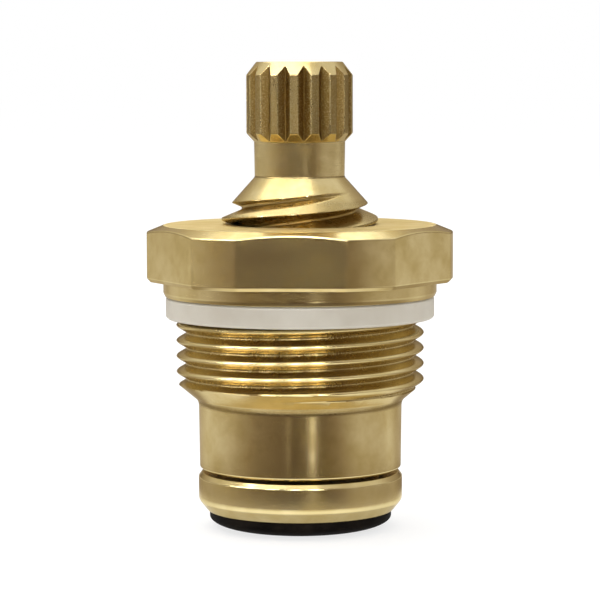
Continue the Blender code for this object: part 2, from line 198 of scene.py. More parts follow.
def bumpNode(tree, height, strength, depth, over=None, invert=False):
    # Relief of the given depth in metres, on top of another relief where one is given.
    sockets = {"Strength": strength, "Distance": depth, "Height": height}
    if over is not None:
        sockets["Normal"] = over
    return addNode(tree, "ShaderNodeBump", sockets, invert=invert).outputs[0]


def mappedNode(tree, place, stretch, turned=(0, 0, 0)):
    sockets = {"Vector": place, "Rotation": turned, "Scale": stretch}
    return addNode(tree, "ShaderNodeMapping", sockets).outputs[0]


def markNode(tree, title):
    return addNode(tree, "ShaderNodeAttribute", {}, attribute_name=title).outputs["Fac"]


def startMaterial(name):
    # The material, its tree, its shader and the place on the piece
    material = bpy.data.materials.new(name)
    material.use_nodes = True
    tree = material.node_tree
    place = addNode(tree, "ShaderNodeTexCoord", {}).outputs["Object"]
    return material, tree, tree.nodes["Principled BSDF"], place


# In each look a pattern gives its scale and detail, and the brass's cloud its roughness too.
# A range picks the part of a pattern that counts, and a bump gives its strength and its
# depth in metres.
brassLook = {
    "clean": (0.63, 0.51, 0.26, 1),
    "tanned": (0.53, 0.405, 0.165, 1),
    "baredAndHighlit": (0.78, 0.67, 0.36, 1),
    "grimyShaded": (0.20, 0.125, 0.035, 1),
    "glancing": (0.92, 0.86, 0.70, 1),
    "bareAndHighlightShare": 0.75,
    "leastCaught": 0.45,
    "roughness": (0.13, 0.23),
    "grimeRoughness": 0.20,
    "grainRoughness": 0.06,
    "cloud": (260, 4, 0.6),
    "tanRange": (0.36, 0.66),
    "roughRange": (0.3, 0.7),
    "ring": (1, 3),
    "ringScale": 8000,
    "streak": (5200, 3),
    "streakStretch": (1, 1, 0.035),
    "scratch": (2600, 2),
    "scratchTurn": (0.35, 0.2, 0.6),
    "scratchStretch": (0.05, 1, 1),
    "scratchRange": (0.70, 0.78),
    "scratchBump": (0.2, 3.0e-6),
    "grain": (7000, 2),
    "grainRange": (0.2, 0.6),
    "grainBump": (0.5, 4.0e-6),
    "pit": (2300, 2.5),
    "dentScale": 700,
    "dentReach": 0.07,
    "dentBump": (0.5, 1.0e-5),
    "lineDepth": 3.0e-6,
    "pitDepth": 1.4e-5,
}


def brassMaterial(name, rings, streaks, pits, dull=0.0):
    # Rings are the fine marks of turning, which follow radius and height. Streaks run up
    # a flat as the marks of drawn bar do, and are stretched along the height. Pits are the
    # torn grain of a rough cut, which breaks a reflection into specks. Dull is more roughness.
    look = brassLook
    material, tree, shader, place = startMaterial(name)
    apart = addNode(tree, "ShaderNodeSeparateXYZ", {"Vector": place}).outputs
    flat = addNode(tree, "ShaderNodeCombineXYZ", {"X": apart["X"], "Y": apart["Y"]}).outputs[0]
    radius = vectorNode(tree, "LENGTH", flat)["Value"]
    outward = vectorNode(tree, "NORMALIZE", flat)[0]
    along = mathNode(tree, "ADD", radius, apart["Z"])
    climbed = mathNode(tree, "MULTIPLY", along, look["ringScale"])
    lifted = addNode(tree, "ShaderNodeCombineXYZ", {"Z": climbed}).outputs[0]
    ring = noiseNode(tree, vectorNode(tree, "ADD", outward, lifted)[0], *look["ring"])
    streak = noiseNode(tree, mappedNode(tree, place, look["streakStretch"]), *look["streak"])
    scratchPlace = mappedNode(tree, place, look["scratchStretch"], look["scratchTurn"])
    scratch = rangeNode(tree, noiseNode(tree, scratchPlace, *look["scratch"]), look["scratchRange"])
    grain = noiseNode(tree, place, *look["grain"])
    pit = noiseNode(tree, place, *look["pit"])
    cloud = noiseNode(tree, place, *look["cloud"])
    spots = addNode(tree, "ShaderNodeTexVoronoi", {"Vector": place, "Scale": look["dentScale"]})
    dent = rangeNode(tree, spots.outputs["Distance"], (0, look["dentReach"]), (1, 0))

    patchy = rangeNode(tree, cloud, look["tanRange"])
    colour = mixNode(tree, patchy, look["clean"], look["tanned"])
    # The wear mark lightens worn edges and thread crests, and along the spindle's groove edges it
    # is also a painted highlight.
    wearHighlightShare = mathNode(tree, "MULTIPLY", markNode(tree, "wearAndHighlight"), look["bareAndHighlightShare"])
    colour = mixNode(tree, wearHighlightShare, colour, look["baredAndHighlit"])
    # The dark mark paints dirt and painted shade in hollows and thread roots, painted shade under
    # the thread's ridges and on the sides of the spindle's head, and a darker band on its top
    # ridge.
    caught = rangeNode(tree, grain, look["grainRange"], (look["leastCaught"], 1))
    grimeShadeShare = mathNode(tree, "MULTIPLY", markNode(tree, "grimeAndShade"), caught)
    colour = mixNode(tree, grimeShadeShare, colour, look["grimyShaded"])
    tree.links.new(colour, shader.inputs["Base Color"])

    low, high = look["roughness"]
    rough = rangeNode(tree, cloud, look["roughRange"], (low + dull, high + dull))
    rough = mathNode(tree, "MULTIPLY_ADD", grimeShadeShare, look["grimeRoughness"], rough)
    rough = mathNode(tree, "MULTIPLY_ADD", grain, look["grainRoughness"], rough)
    tree.links.new(rough, shader.inputs["Roughness"])

    relief = bumpNode(tree, ring, rings, look["lineDepth"])
    relief = bumpNode(tree, streak, streaks, look["lineDepth"], relief)
    relief = bumpNode(tree, scratch, *look["scratchBump"], relief, invert=True)
    relief = bumpNode(tree, pit, pits, look["pitDepth"], relief)
    relief = bumpNode(tree, grain, *look["grainBump"], relief)
    relief = bumpNode(tree, dent, *look["dentBump"], relief, invert=True)
    tree.links.new(relief, shader.inputs["Normal"])
    shader.inputs["Metallic"].default_value = 1.0
    shader.inputs["Specular Tint"].default_value = look["glancing"]
    return material


nylonLook = {
    "pale": (0.61, 0.565, 0.475, 1),
    "shaded": (0.56, 0.51, 0.42, 1),
    "rubbed": (0.70, 0.67, 0.60, 1),
    "rubShare": 0.5,
    "roughness": (0.36, 0.50),
    "cloud": (320, 4),
    "cloudRange": (0.35, 0.68),
    "grain": (6500, 2),
    "grainRange": (0.3, 0.7),
    "grainBump": (0.4, 5.0e-6),
    "line": (4500, 2),
    "lineStretch": (0.15, 0.15, 1),
    "lineBump": (0.4, 6.0e-6),
    "scatter": 0.12,
    "scatterReach": (1.0, 0.8, 0.6),
    "scatterScale": 0.0006,
    "refraction": 1.53,
}


def nylonMaterial(name):
    look = nylonLook
    material, tree, shader, place = startMaterial(name)
    cloud = noiseNode(tree, place, *look["cloud"])
    grain = noiseNode(tree, place, *look["grain"])
    line = noiseNode(tree, mappedNode(tree, place, look["lineStretch"]), *look["line"])
    patchy = rangeNode(tree, cloud, look["cloudRange"])
    colour = mixNode(tree, patchy, look["pale"], look["shaded"])
    wearHighlightShare = mathNode(tree, "MULTIPLY", markNode(tree, "wearAndHighlight"), look["rubShare"])
    colour = mixNode(tree, wearHighlightShare, colour, look["rubbed"])
    tree.links.new(colour, shader.inputs["Base Color"])
    rough = rangeNode(tree, grain, look["grainRange"], look["roughness"])
    tree.links.new(rough, shader.inputs["Roughness"])
    relief = bumpNode(tree, line, *look["lineBump"])
    relief = bumpNode(tree, grain, *look["grainBump"], relief)
    tree.links.new(relief, shader.inputs["Normal"])
    shader.inputs["Subsurface Weight"].default_value = look["scatter"]
    shader.inputs["Subsurface Radius"].default_value = look["scatterReach"]
    shader.inputs["Subsurface Scale"].default_value = look["scatterScale"]
    shader.inputs["IOR"].default_value = look["refraction"]
    return material


rubberLook = {
    "black": (0.0035, 0.0025, 0.0018, 1),
    "rubbed": (0.016, 0.012, 0.009, 1),
    "dusty": (0.12, 0.105, 0.085, 1),
    "rubShare": 0.6,
    "roughness": (0.55, 0.75),
    "specular": 0.04,
    "cloud": (420, 4),
    "rubRange": (0.4, 0.75),
    "roughRange": (0.3, 0.7),
    "grain": (9000, 3),
    "grainBump": (0.6, 8.0e-6),
    "dustScale": 2600,
    "dustRange": (0.03, 0.12),
    "dustMost": 0.35,
}


def rubberMaterial(name):
    look = rubberLook
    material, tree, shader, place = startMaterial(name)
    cloud = noiseNode(tree, place, *look["cloud"])
    grain = noiseNode(tree, place, *look["grain"])
    specks = addNode(tree, "ShaderNodeTexVoronoi", {"Vector": place, "Scale": look["dustScale"]})
    dust = rangeNode(tree, specks.outputs["Distance"], look["dustRange"], (look["dustMost"], 0))
    patchy = rangeNode(tree, cloud, look["rubRange"])
    wear = markNode(tree, "wearAndHighlight")
    rubbedShare = mathNode(tree, "MULTIPLY_ADD", wear, look["rubShare"], patchy, use_clamp=True)
    colour = mixNode(tree, rubbedShare, look["black"], look["rubbed"])
    dustShare = mathNode(tree, "MULTIPLY", dust, patchy)
    colour = mixNode(tree, dustShare, colour, look["dusty"])
    tree.links.new(colour, shader.inputs["Base Color"])
    rough = rangeNode(tree, cloud, look["roughRange"], look["roughness"])
    tree.links.new(rough, shader.inputs["Roughness"])
    tree.links.new(bumpNode(tree, grain, *look["grainBump"]), shader.inputs["Normal"])
    shader.inputs["Specular IOR Level"].default_value = look["specular"]
    return material


turnedBrass = brassMaterial("turnedBrass", rings=0.6, streaks=0.0, pits=0.10)
drawnBrass = brassMaterial("drawnBrass", rings=0.0, streaks=0.6, pits=0.05)
facedBrass = brassMaterial("facedBrass", rings=1.0, streaks=0.0, pits=0.3, dull=0.30)
spindleBrass = brassMaterial("spindleBrass", rings=0.6, streaks=0.0, pits=0.22)
whiteNylon = nylonMaterial("whiteNylon")
blackRubber = rubberMaterial("blackRubber")
print("materials made")

# The lifting thread, which the spindle and the nut inside the bonnet share
liftThread = {
    "lead": 4.5,
    "starts": 2,
    "rootAtZero": 30.507,
    "rootRadius": 5.95,
    "crestRadius": 8.0,
    "rootHalf": 0.15,
    "crestHalf": 0.975,
    "nutRadius": 6.25,
    "nutRootRadius": 8.3,
    "nutEase": 0.08,
}

# How a thread's marks lie over its depth, from 0 at the root to 1 at the crest
threadWear = {
    "wornFrom": 0.84,
    "wornMost": 0.7,
    "rootDarkFall": 2,
    "undersideShadeFall": 2.2,
    "undersideShadeMost": 0.2,
    "fade": 6,
}


def liftOffset(height, turn):
    # Distance along the axis from the middle of the nearest groove of the spindle's thread.
    pitch = liftThread["lead"] / liftThread["starts"]
    along = height - liftThread["rootAtZero"] - liftThread["lead"] * turn / (2 * math.pi)
    return np.abs((along + pitch / 2) % pitch - pitch / 2)


bonnet = {
    "barrelEnd": 6.13,
    "barrelEndRadius": 10.34,
    "barrelRadius": 10.43,
    "barrelChamfer": 0.22,
    "noseBottom": 13.1,
    "noseTop": 15.0,
    "threadRadius": 12.71,
    "threadDepth": 1.0,
    "threadPitch": 1.5875,
    "threadRootAtZero": 22.462,
    "threadRootHalf": 0.08,
    "threadBottom": 14.12,
    "threadTop": 22.85,
    "threadEase": (0.10, 0.34, 0.05),       # at its root, its crest and the nose
    "threadDarkening": (0, 0.35),
    "threadRows": 20,                       # in one turn of the thread
    "gasketFace": 21.55,
    "reliefRadius": 11.4,
    "flangeBottom": 23.82,
    "flangeRadius": 14.0,
    "flangeChamfer": (0.22, 0.42),
    "hexBottom": 25.34,
    "hexTop": 31.16,
    "flatRadius": 14.7,
    "cornerRadius": 15.66,
    "cornerEase": 0.035,
    "hexTopStart": 13.85,
    "hexTopSlope": 0.404,
    "hexBottomBevel": (0.36, 0.40),
    "boreRadius": 8.6,
    "boreChamfer": 0.4,
    "nutBottom": 22.8,
    "nutMouthChamfer": 0.9,
    "nutLand": 0.3,
    "nutDarkening": (0, 0.7),
    "nutRows": 26,
    "turnStep": 1.12,                       # degrees
    "cornerBand": 1.2,                      # degrees each side of a corner with finer steps
}


def hexReach(turn):
    # Radius of the hexagon: flat distance over the cosine of the angle from the nearest
    # flat's middle, turned down to the corner radius.
    b, sixth = bonnet, math.pi / 3
    aside = turn % sixth - sixth / 2
    return softerLess(b["flatRadius"] / np.cos(aside), b["cornerRadius"], b["cornerEase"])


def nutWall(height, turn):
    # Radius of the nut thread: its ridges stand in the spindle's grooves, and its mouth
    # is opened by a 45 degree chamfer.
    t = liftThread
    slope = (t["crestRadius"] - t["rootRadius"]) / (t["crestHalf"] - t["rootHalf"])
    wall = t["rootRadius"] + slope * liftOffset(height, turn)
    wall = softerMore(wall, t["nutRadius"], t["nutEase"])
    wall = softerLess(wall, t["nutRootRadius"], t["nutEase"])
    mouth = t["nutRadius"] + height - (bonnet["hexTop"] - bonnet["nutMouthChamfer"])
    return np.maximum(wall, mouth)


def noseRadius(height):
    # Radius of the cone below the bonnet's thread.
    b = bonnet
    slope = (b["threadRadius"] - b["barrelRadius"]) / (b["noseTop"] - b["noseBottom"])
    return b["barrelRadius"] + slope * (height - b["noseBottom"])


def bodyThread(height, turn):
    # V thread of 60 degrees: radius = root + distance from the groove's middle over tan 30,
    # eased at root and crest, and held inside the nose's cone and the run-out at the top.
    b = bonnet
    rootEase, crestEase, noseEase = b["threadEase"]
    along = height - b["threadRootAtZero"] - b["threadPitch"] * turn / (2 * math.pi)
    away = np.abs((along + b["threadPitch"] / 2) % b["threadPitch"] - b["threadPitch"] / 2)
    root = b["threadRadius"] - b["threadDepth"]
    flank = root + (away - b["threadRootHalf"]) / math.tan(math.pi / 6)
    thread = softerLess(softerMore(flank, root, rootEase), b["threadRadius"], crestEase)
    nose = noseRadius(height)
    runOut = np.maximum(b["threadRadius"] - (height - b["gasketFace"]), b["reliefRadius"])
    inside = (height > b["threadBottom"]) & (height < b["threadTop"])
    return np.minimum(np.where(inside, softerLess(thread, nose, noseEase), nose), runOut)


def threadMarks(root, crest, plainAt, least, most):
    # Wear grows over the outer sixth of the thread's depth. Dirt and painted shade darken its inner
    # half, and painted shade darkens the underside of each ridge. The plain cone that the thread is
    # cut into stays clean. Least is the darkening all over the thread, and most that at its root.
    w = threadWear

    def marks(radius, height, under):
        depth = (radius - root) / (crest - root)
        inner = np.clip(most * (1 - depth * w["rootDarkFall"]), least, 1)
        # Painted shade on the underside of each ridge
        beneath = under * np.clip(2 - depth * w["undersideShadeFall"], 0, w["undersideShadeMost"])
        cut = np.clip((plainAt(height) - radius) * w["fade"], 0, 1)
        worn = np.clip((depth - w["wornFrom"]) * w["fade"], 0, 1) * w["wornMost"]
        return worn, np.maximum(inner, beneath) * cut
    return marks


def makeBonnet():
    b = bonnet
    edge = math.degrees(math.acos(b["flatRadius"] / b["cornerRadius"]))
    band = b["cornerBand"]
    breaks = [0]
    for flat in range(30, 390, 60):
        breaks += [flat + side * edge + shift for side in (-1, 1) for shift in (-band, band)]
    turn = spacedTurn(breaks + [360], b["turnStep"])
    near = np.abs(np.abs(np.degrees(turn) % 60 - 30) - edge) < band
    halfway = turn[:-1] + np.diff(turn) / 2
    turn = np.unique(np.concatenate([turn, halfway[near[:-1] & near[1:]]]))
    out = hexReach(turn)
    topHeight = b["hexTop"] - (out - b["hexTopStart"]) * b["hexTopSlope"]
    bevelDepth, bevelHeight = b["hexBottomBevel"]
    mouth = nutWall(np.full_like(turn, b["hexTop"]), turn)
    nutEnd = nutWall(np.full_like(turn, b["nutBottom"]), turn)
    threadStart = bodyThread(np.full_like(turn, b["threadBottom"]), turn)
    threadEnd = bodyThread(np.full_like(turn, b["threadTop"]), turn)
    flangeIn, flangeUp = b["flangeChamfer"]
    lower = easedProfile(turn, [
        (b["boreRadius"] + b["boreChamfer"], b["barrelEnd"], 0),
        (b["barrelEndRadius"] - b["barrelChamfer"], b["barrelEnd"], 0.08),
        (b["barrelEndRadius"], b["barrelEnd"] + b["barrelChamfer"], 0.08),
        (b["barrelRadius"], b["noseBottom"], 0.5),
        (threadStart, b["threadBottom"], 0),
    ])
    marks = threadMarks(b["threadRadius"] - b["threadDepth"], b["threadRadius"], noseRadius,
                        *b["threadDarkening"])
    thread = threadRows(turn, b["threadPitch"], b["threadRows"], b["threadBottom"], b["threadTop"],
                        bodyThread, marks)
    upper = easedProfile(turn, [
        (threadEnd, b["threadTop"], 0),
        (b["reliefRadius"], b["flangeBottom"], 0.10),
        (b["flangeRadius"] - flangeIn, b["flangeBottom"], 0.06),
        (b["flangeRadius"], b["flangeBottom"] + flangeUp, 0.12),
        (b["flangeRadius"], b["hexBottom"], 0.10),
        (out - bevelDepth, b["hexBottom"], 0.05),
        (out, b["hexBottom"] + bevelHeight, 0.08),
        (out, topHeight, 0.12),
        (b["hexTopStart"], b["hexTop"], 0.22),
        (mouth + b["nutLand"], b["hexTop"], 0),
        (mouth, b["hexTop"], 0),
    ])
    # The nut's thread is cut into no cone, so its plain surface is put far outside it.
    marks = threadMarks(liftThread["nutRootRadius"], liftThread["nutRadius"],
                        lambda height: liftThread["crestRadius"] + height, *b["nutDarkening"])
    nut = threadRows(turn, liftThread["lead"], b["nutRows"], b["nutBottom"], b["hexTop"],
                     nutWall, marks)[::-1]
    bore = easedProfile(turn, [
        (nutEnd, b["nutBottom"], 0),
        (b["boreRadius"], b["nutBottom"], 0.10),
        (b["boreRadius"], b["barrelEnd"] + b["boreChamfer"], 0.10),
        (b["boreRadius"] + b["boreChamfer"], b["barrelEnd"], 0),
    ])

    def onFlats(centres, normals):
        # Upright faces of the hexagon outside the turned corners take the drawn finish, and
        # the top face the faced one. The margins leave out the rounded edges.
        around = np.degrees(np.arctan2(centres[:, 1], centres[:, 0])) % 60
        high = (centres[:, 2] > b["hexBottom"] + 0.1) & (centres[:, 2] < b["hexTop"])
        flat = (np.abs(around - 30) < edge) & (np.abs(normals[:, 2]) < 0.3)
        outside = np.hypot(centres[:, 0], centres[:, 1]) > b["flangeRadius"] + 0.4
        top = (centres[:, 2] > b["hexTop"] - 0.1) & (normals[:, 2] > 0.95)
        return np.where(top, 2, high & flat & outside).astype(np.int32)

    return meshFromGrids("tap_bonnet", turn, [lower, thread, upper, nut, bore],
                         [turnedBrass, drawnBrass, facedBrass], onFlats)


tapBonnet = makeBonnet()
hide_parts("bonnet")
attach(tapBonnet, "bonnet")
print("bonnet done")

gasket = {
    "innerRadius": 11.7,
    "outerRadius": 13.75,
    "faceRadius": 12.77,
    "bottom": 21.6,
    "bevelTop": 22.67,
    "top": 23.81,
    "edge": 0.2,
    "turnStep": 1.5,
}


def makeGasket():
    # A flat ring whose bore is bevelled below, where it meets the thread's run-out.
    g = gasket
    turn = spacedTurn([0, 360], g["turnStep"])
    ring = easedProfile(turn, [
        (g["faceRadius"], g["bottom"], 0),
        (g["outerRadius"] - g["edge"], g["bottom"], 0.06),
        (g["outerRadius"], g["bottom"] + g["edge"], 0.14),
        (g["outerRadius"], g["top"] - g["edge"], 0.14),
        (g["outerRadius"] - g["edge"], g["top"], 0.06),
        (g["innerRadius"], g["top"], 0.08),
        (g["innerRadius"], g["bevelTop"], 0.08),
        (g["faceRadius"], g["bottom"], 0),
    ])
    return meshFromGrids("gasket_ring", turn, [ring], [whiteNylon])


gasketRing = makeGasket()
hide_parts("flange_gasket")
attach(gasketRing, "bonnet")
print("gasket done")

spindle = {
    "spigotBottom": 3.2,
    "spigotRadius": 3.2,
    "screwHoleRadius": 2.2,
    "screwHoleEnd": 10.7,
    "pistonBottom": 6.07,
    "pistonTop": 22.5,
    "pistonRadius": 8.2,
    "pistonChamfer": 0.35,
    "ringGrooves": (12.57, 16.97),
    "ringGrooveHalf": 1.2,
    "ringGrooveRadius": 6.3,
    "threadBottom": 24.3,
    "threadShoulder": 34.58,                # where the cone is down to the thread's root
    "threadEase": 0.12,
    "leadInEase": 0.15,
    "endEase": 0.10,
    "threadDarkening": (0.3, 0.7),
    "threadRows": 56,
    "ridgeDarkening": 0.42,
    "ridgeTop": 33.9,
    "ridgeFade": 0.4,
    "coneBottom": 32.2,
    "coneTop": 36.0,
    "neckRadius": (4.6, 4.65),
    "splineBottom": 39.6,
    "splineRadius": 5.43,
    "splineRoot": 4.72,
    "splineCount": 16,
    "grooveAngle": 8.8,
    "grooveRounding": (0.45, 0.15),         # degrees: how far it reaches, and how far it moves in
    "splineEase": 0.05,
    "splineColumns": (0, 0.35, 0.8, 1.5, 3.4, 5.4, 6.3, 6.75, 7.2, 7.7, 8.6),
    "lowerChamfer": 0.85,
    "upperChamfer": 1.35,
    "topRadius": 4.4,
    "top": 47.7,
    "headShade": 1.3,
    "crestLighter": 0.3,
    "edgeRubHighlight": 1.3,
    "edgeDepth": (0.945, 0.04),             # its place from root to crest, and its width
    "handleHoleRadius": 2.1,
    "handleHoleEnd": 37.7,
    "handleHoleChamfer": 0.4,
    "drillSlope": 0.6009,
}


def splineReach(turn):
    # Sixteen V grooves of 90 degrees: a straight flank at 45 degrees has the radius
    # root / (cos d - sin d) at the angle d from the groove's middle, up to the crest.
    s = spindle
    tooth = 2 * math.pi / s["splineCount"]
    aside = (turn - math.radians(s["grooveAngle"]) + tooth / 2) % tooth - tooth / 2
    reach, inward = np.radians(s["grooveRounding"])
    aside = np.sqrt(aside ** 2 + reach ** 2) - inward
    flank = s["splineRoot"] / np.maximum(np.cos(aside) - np.sin(aside), 0.5)
    return softerLess(flank, s["splineRadius"], s["splineEase"])


def coneRadius(height):
    # Radius of the cone above the spindle's thread.
    s, t = spindle, liftThread
    slope = (t["crestRadius"] - s["neckRadius"][0]) / (s["coneTop"] - s["coneBottom"])
    return t["crestRadius"] - slope * (height - s["coneBottom"])


def spindleThread(height, turn):
    # Two-start thread: radius = root + slope times the distance past the groove's flat,
    # eased at root and crest, held inside the lead-in below and the cone above.
    s, t = spindle, liftThread
    slope = (t["crestRadius"] - t["rootRadius"]) / (t["crestHalf"] - t["rootHalf"])
    flank = t["rootRadius"] + slope * (liftOffset(height, turn) - t["rootHalf"])
    thread = softerMore(flank, t["rootRadius"], s["threadEase"])
    thread = softerLess(thread, t["crestRadius"], s["threadEase"])
    leadIn = t["rootRadius"] + (height - s["threadBottom"])
    cone = coneRadius(height)
    kept = softerLess(thread, softerLess(leadIn, cone, s["leadInEase"]), s["endEase"])
    atEnd = (height <= s["threadBottom"]) | (height >= s["threadShoulder"])
    return np.where(atEnd, np.minimum(leadIn, cone), kept)


def makeSpindle():
    s, t = spindle, liftThread
    tooth = 360 / s["splineCount"]
    # The columns crowd at each groove's bottom and edges, in degrees from its middle.
    offsets = np.unique(np.concatenate([np.negative(s["splineColumns"]), s["splineColumns"]]))
    middles = s["grooveAngle"] + tooth * np.arange(s["splineCount"])[:, None]
    degrees = (middles + offsets).ravel() % 360
    turn = np.radians(np.unique(np.concatenate([[0], degrees, [360]])))
    out = splineReach(turn)
    topWidth = s["splineRadius"] - s["topRadius"]
    shoulder = s["top"] - (out - s["topRadius"]) * s["upperChamfer"] / topWidth
    neckLow, neckHigh = s["neckRadius"]
    foot = s["splineBottom"] + (out - neckHigh) * s["lowerChamfer"] / (s["splineRadius"] - neckHigh)
    threadStart = spindleThread(np.full_like(turn, s["threadBottom"]), turn)
    threadEnd = spindleThread(np.full_like(turn, s["threadShoulder"]), turn)
    seats = []
    for height in s["ringGrooves"]:
        low, high = height - s["ringGrooveHalf"], height + s["ringGrooveHalf"]
        seats += [(s["pistonRadius"], low, 0.08), (s["ringGrooveRadius"], low, 0.15),
                  (s["ringGrooveRadius"], high, 0.15), (s["pistonRadius"], high, 0.08)]
    lower = easedProfile(turn, [
        (0, s["screwHoleEnd"] + s["screwHoleRadius"] * s["drillSlope"], 0),
        (s["screwHoleRadius"], s["screwHoleEnd"], 0.05),
        (s["screwHoleRadius"], s["spigotBottom"], 0.08),
        (s["spigotRadius"], s["spigotBottom"], 0.12),
        (s["spigotRadius"], s["pistonBottom"], 0.10),
        (s["pistonRadius"] - s["pistonChamfer"], s["pistonBottom"], 0.06),
        (s["pistonRadius"], s["pistonBottom"] + s["pistonChamfer"], 0.10),
        *seats,
        (s["pistonRadius"], s["pistonTop"] - s["pistonChamfer"], 0.10),
        (s["pistonRadius"] - s["pistonChamfer"], s["pistonTop"], 0.06),
        (t["rootRadius"], s["pistonTop"], 0.15),
        (threadStart, s["threadBottom"], 0),
    ], steps=3)
    marks = threadMarks(t["rootRadius"], t["crestRadius"], coneRadius, *s["threadDarkening"])
    thread = threadRows(turn, t["lead"], s["threadRows"], s["threadBottom"], s["threadShoulder"],
                        spindleThread, marks)
    # The ridge below the topmost groove is darker than the cone above it.
    ridge = s["ridgeDarkening"] * np.clip((s["ridgeTop"] - thread[..., 1]) / s["ridgeFade"], 0, 1)
    thread[..., 3] = np.maximum(thread[..., 3], ridge)
    upper = easedProfile(turn, [
        (threadEnd, s["threadShoulder"], 0),
        (neckLow, s["coneTop"], 0.12),
        (neckHigh, s["splineBottom"], 0.10),
        (out, foot, 0.10),
        (out, shoulder, 0.08),
        (s["topRadius"], s["top"], 0.10),
        (s["handleHoleRadius"] + s["handleHoleChamfer"], s["top"], 0.06),
        (s["handleHoleRadius"], s["top"] - s["handleHoleChamfer"], 0.06),
        (s["handleHoleRadius"], s["handleHoleEnd"], 0.05),
        (0, s["handleHoleEnd"] - s["handleHoleRadius"] * s["drillSlope"], 0),
    ])
    # The sides of the head are painted dark as shade, most of all in the grooves and least at the
    # crests, and a bright line along the grooves' edges is painted as rubbed wear and as a
    # highlight:
    # edge = exp of minus the squared distance from them in widths.
    side = (upper[..., 1] > foot) & (upper[..., 1] < shoulder) & (upper[..., 0] > neckHigh)
    depth = (out - s["splineRoot"]) / (s["splineRadius"] - s["splineRoot"])
    edgeAt, edgeWidth = s["edgeDepth"]
    edge = np.exp(-((depth - edgeAt) / edgeWidth) ** 2)
    headShade = s["headShade"] * (1 - s["crestLighter"] * depth) * (1 - edge)
    upper[..., 2] = np.where(side, s["edgeRubHighlight"] * edge, upper[..., 2])
    upper[..., 3] = np.where(side, headShade, upper[..., 3])
    return meshFromGrids("tap_spindle", turn, [lower, thread, upper], [spindleBrass])


tapSpindle = makeSpindle()
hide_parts("spindle")
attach(tapSpindle, "spindle")
print("spindle done")

holder = {
    "radius": 10.47,
    "top": 5.77,
    "topChamfer": (0.35, 0.455),
    "taperTop": 2.93,
    "bottom": 1.75,
    "lipRadius": 9.5,
    "recessRadius": 8.6,
    "webBottom": 3.5,
    "boreRadius": 3.5,
    "boreChamfer": 0.25,
    "turnStep": 1.5,
}


def makeHolder():
    # A turned cup: a web round the spigot, and a lip that tapers in round the rubber.
    h = holder
    turn = spacedTurn([0, 360], h["turnStep"])
    chamferIn, chamferDown = h["topChamfer"]
    cup = easedProfile(turn, [
        (h["boreRadius"], h["webBottom"], 0),
        (h["recessRadius"], h["webBottom"], 0.12),
        (h["recessRadius"], h["bottom"], 0.08),
        (h["lipRadius"], h["bottom"], 0.16),
        (h["radius"], h["taperTop"], 0.32),
        (h["radius"], h["top"] - chamferDown, 0.10),
        (h["radius"] - chamferIn, h["top"], 0.07),
        (h["boreRadius"] + h["boreChamfer"], h["top"], 0.06),
        (h["boreRadius"], h["top"] - h["boreChamfer"], 0.06),
        (h["boreRadius"], h["webBottom"], 0),
    ])
    return meshFromGrids("washer_cup", turn, [cup], [turnedBrass])


washerCup = makeHolder()
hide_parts("washer_holder")
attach(washerCup, "washer_carrier")
print("washer holder done")

seat = {
    "outerRadius": 9.35,
    "flatRadius": 5.6,
    "holeRadius": 4.3,
    "holeChamfer": 0.15,
    "rounding": 1.2,
    "shoulder": 1.73,
    "shankRadius": 8.5,
    "top": 3.2,
    "roundingPoints": 17,
    "turnStep": 1.5,
}


def makeSeatWasher():
    # The lower edge is a quarter ellipse from the level ring round the screw out to the side.
    s = seat
    turn = spacedTurn([0, 360], s["turnStep"])
    quarter = np.linspace(0, math.pi / 2, s["roundingPoints"])[1:-1]
    rounded = [(s["flatRadius"] + (s["outerRadius"] - s["flatRadius"]) * math.sin(angle),
                s["rounding"] * (1 - math.cos(angle)), 0) for angle in quarter]
    ring = easedProfile(turn, [
        (s["holeRadius"], s["holeChamfer"], 0),
        (s["holeRadius"] + s["holeChamfer"], 0, 0),
        (s["flatRadius"], 0, 0),
        *rounded,
        (s["outerRadius"], s["rounding"], 0),
        (s["outerRadius"], s["shoulder"], 0.10),
        (s["shankRadius"], s["shoulder"], 0.06),
        (s["shankRadius"], s["top"], 0.15),
        (s["holeRadius"], s["top"], 0.15),
        (s["holeRadius"], s["holeChamfer"], 0),
    ])
    return meshFromGrids("seat_disc", turn, [ring], [blackRubber])


seatDisc = makeSeatWasher()
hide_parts("seat_washer")
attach(seatDisc, "washer_carrier")
print("seat washer done")

screw = {
    "headRadius": 4.0,
    "headBottom": 0.9,
    "headTop": 2.9,
    "shankRadius": 1.9,
    "shankTop": 10.4,
    "chamfer": 0.3,
    "slotHalf": 0.5,
    "slotDepth": 0.9,
    "turnStep": 3.0,
}


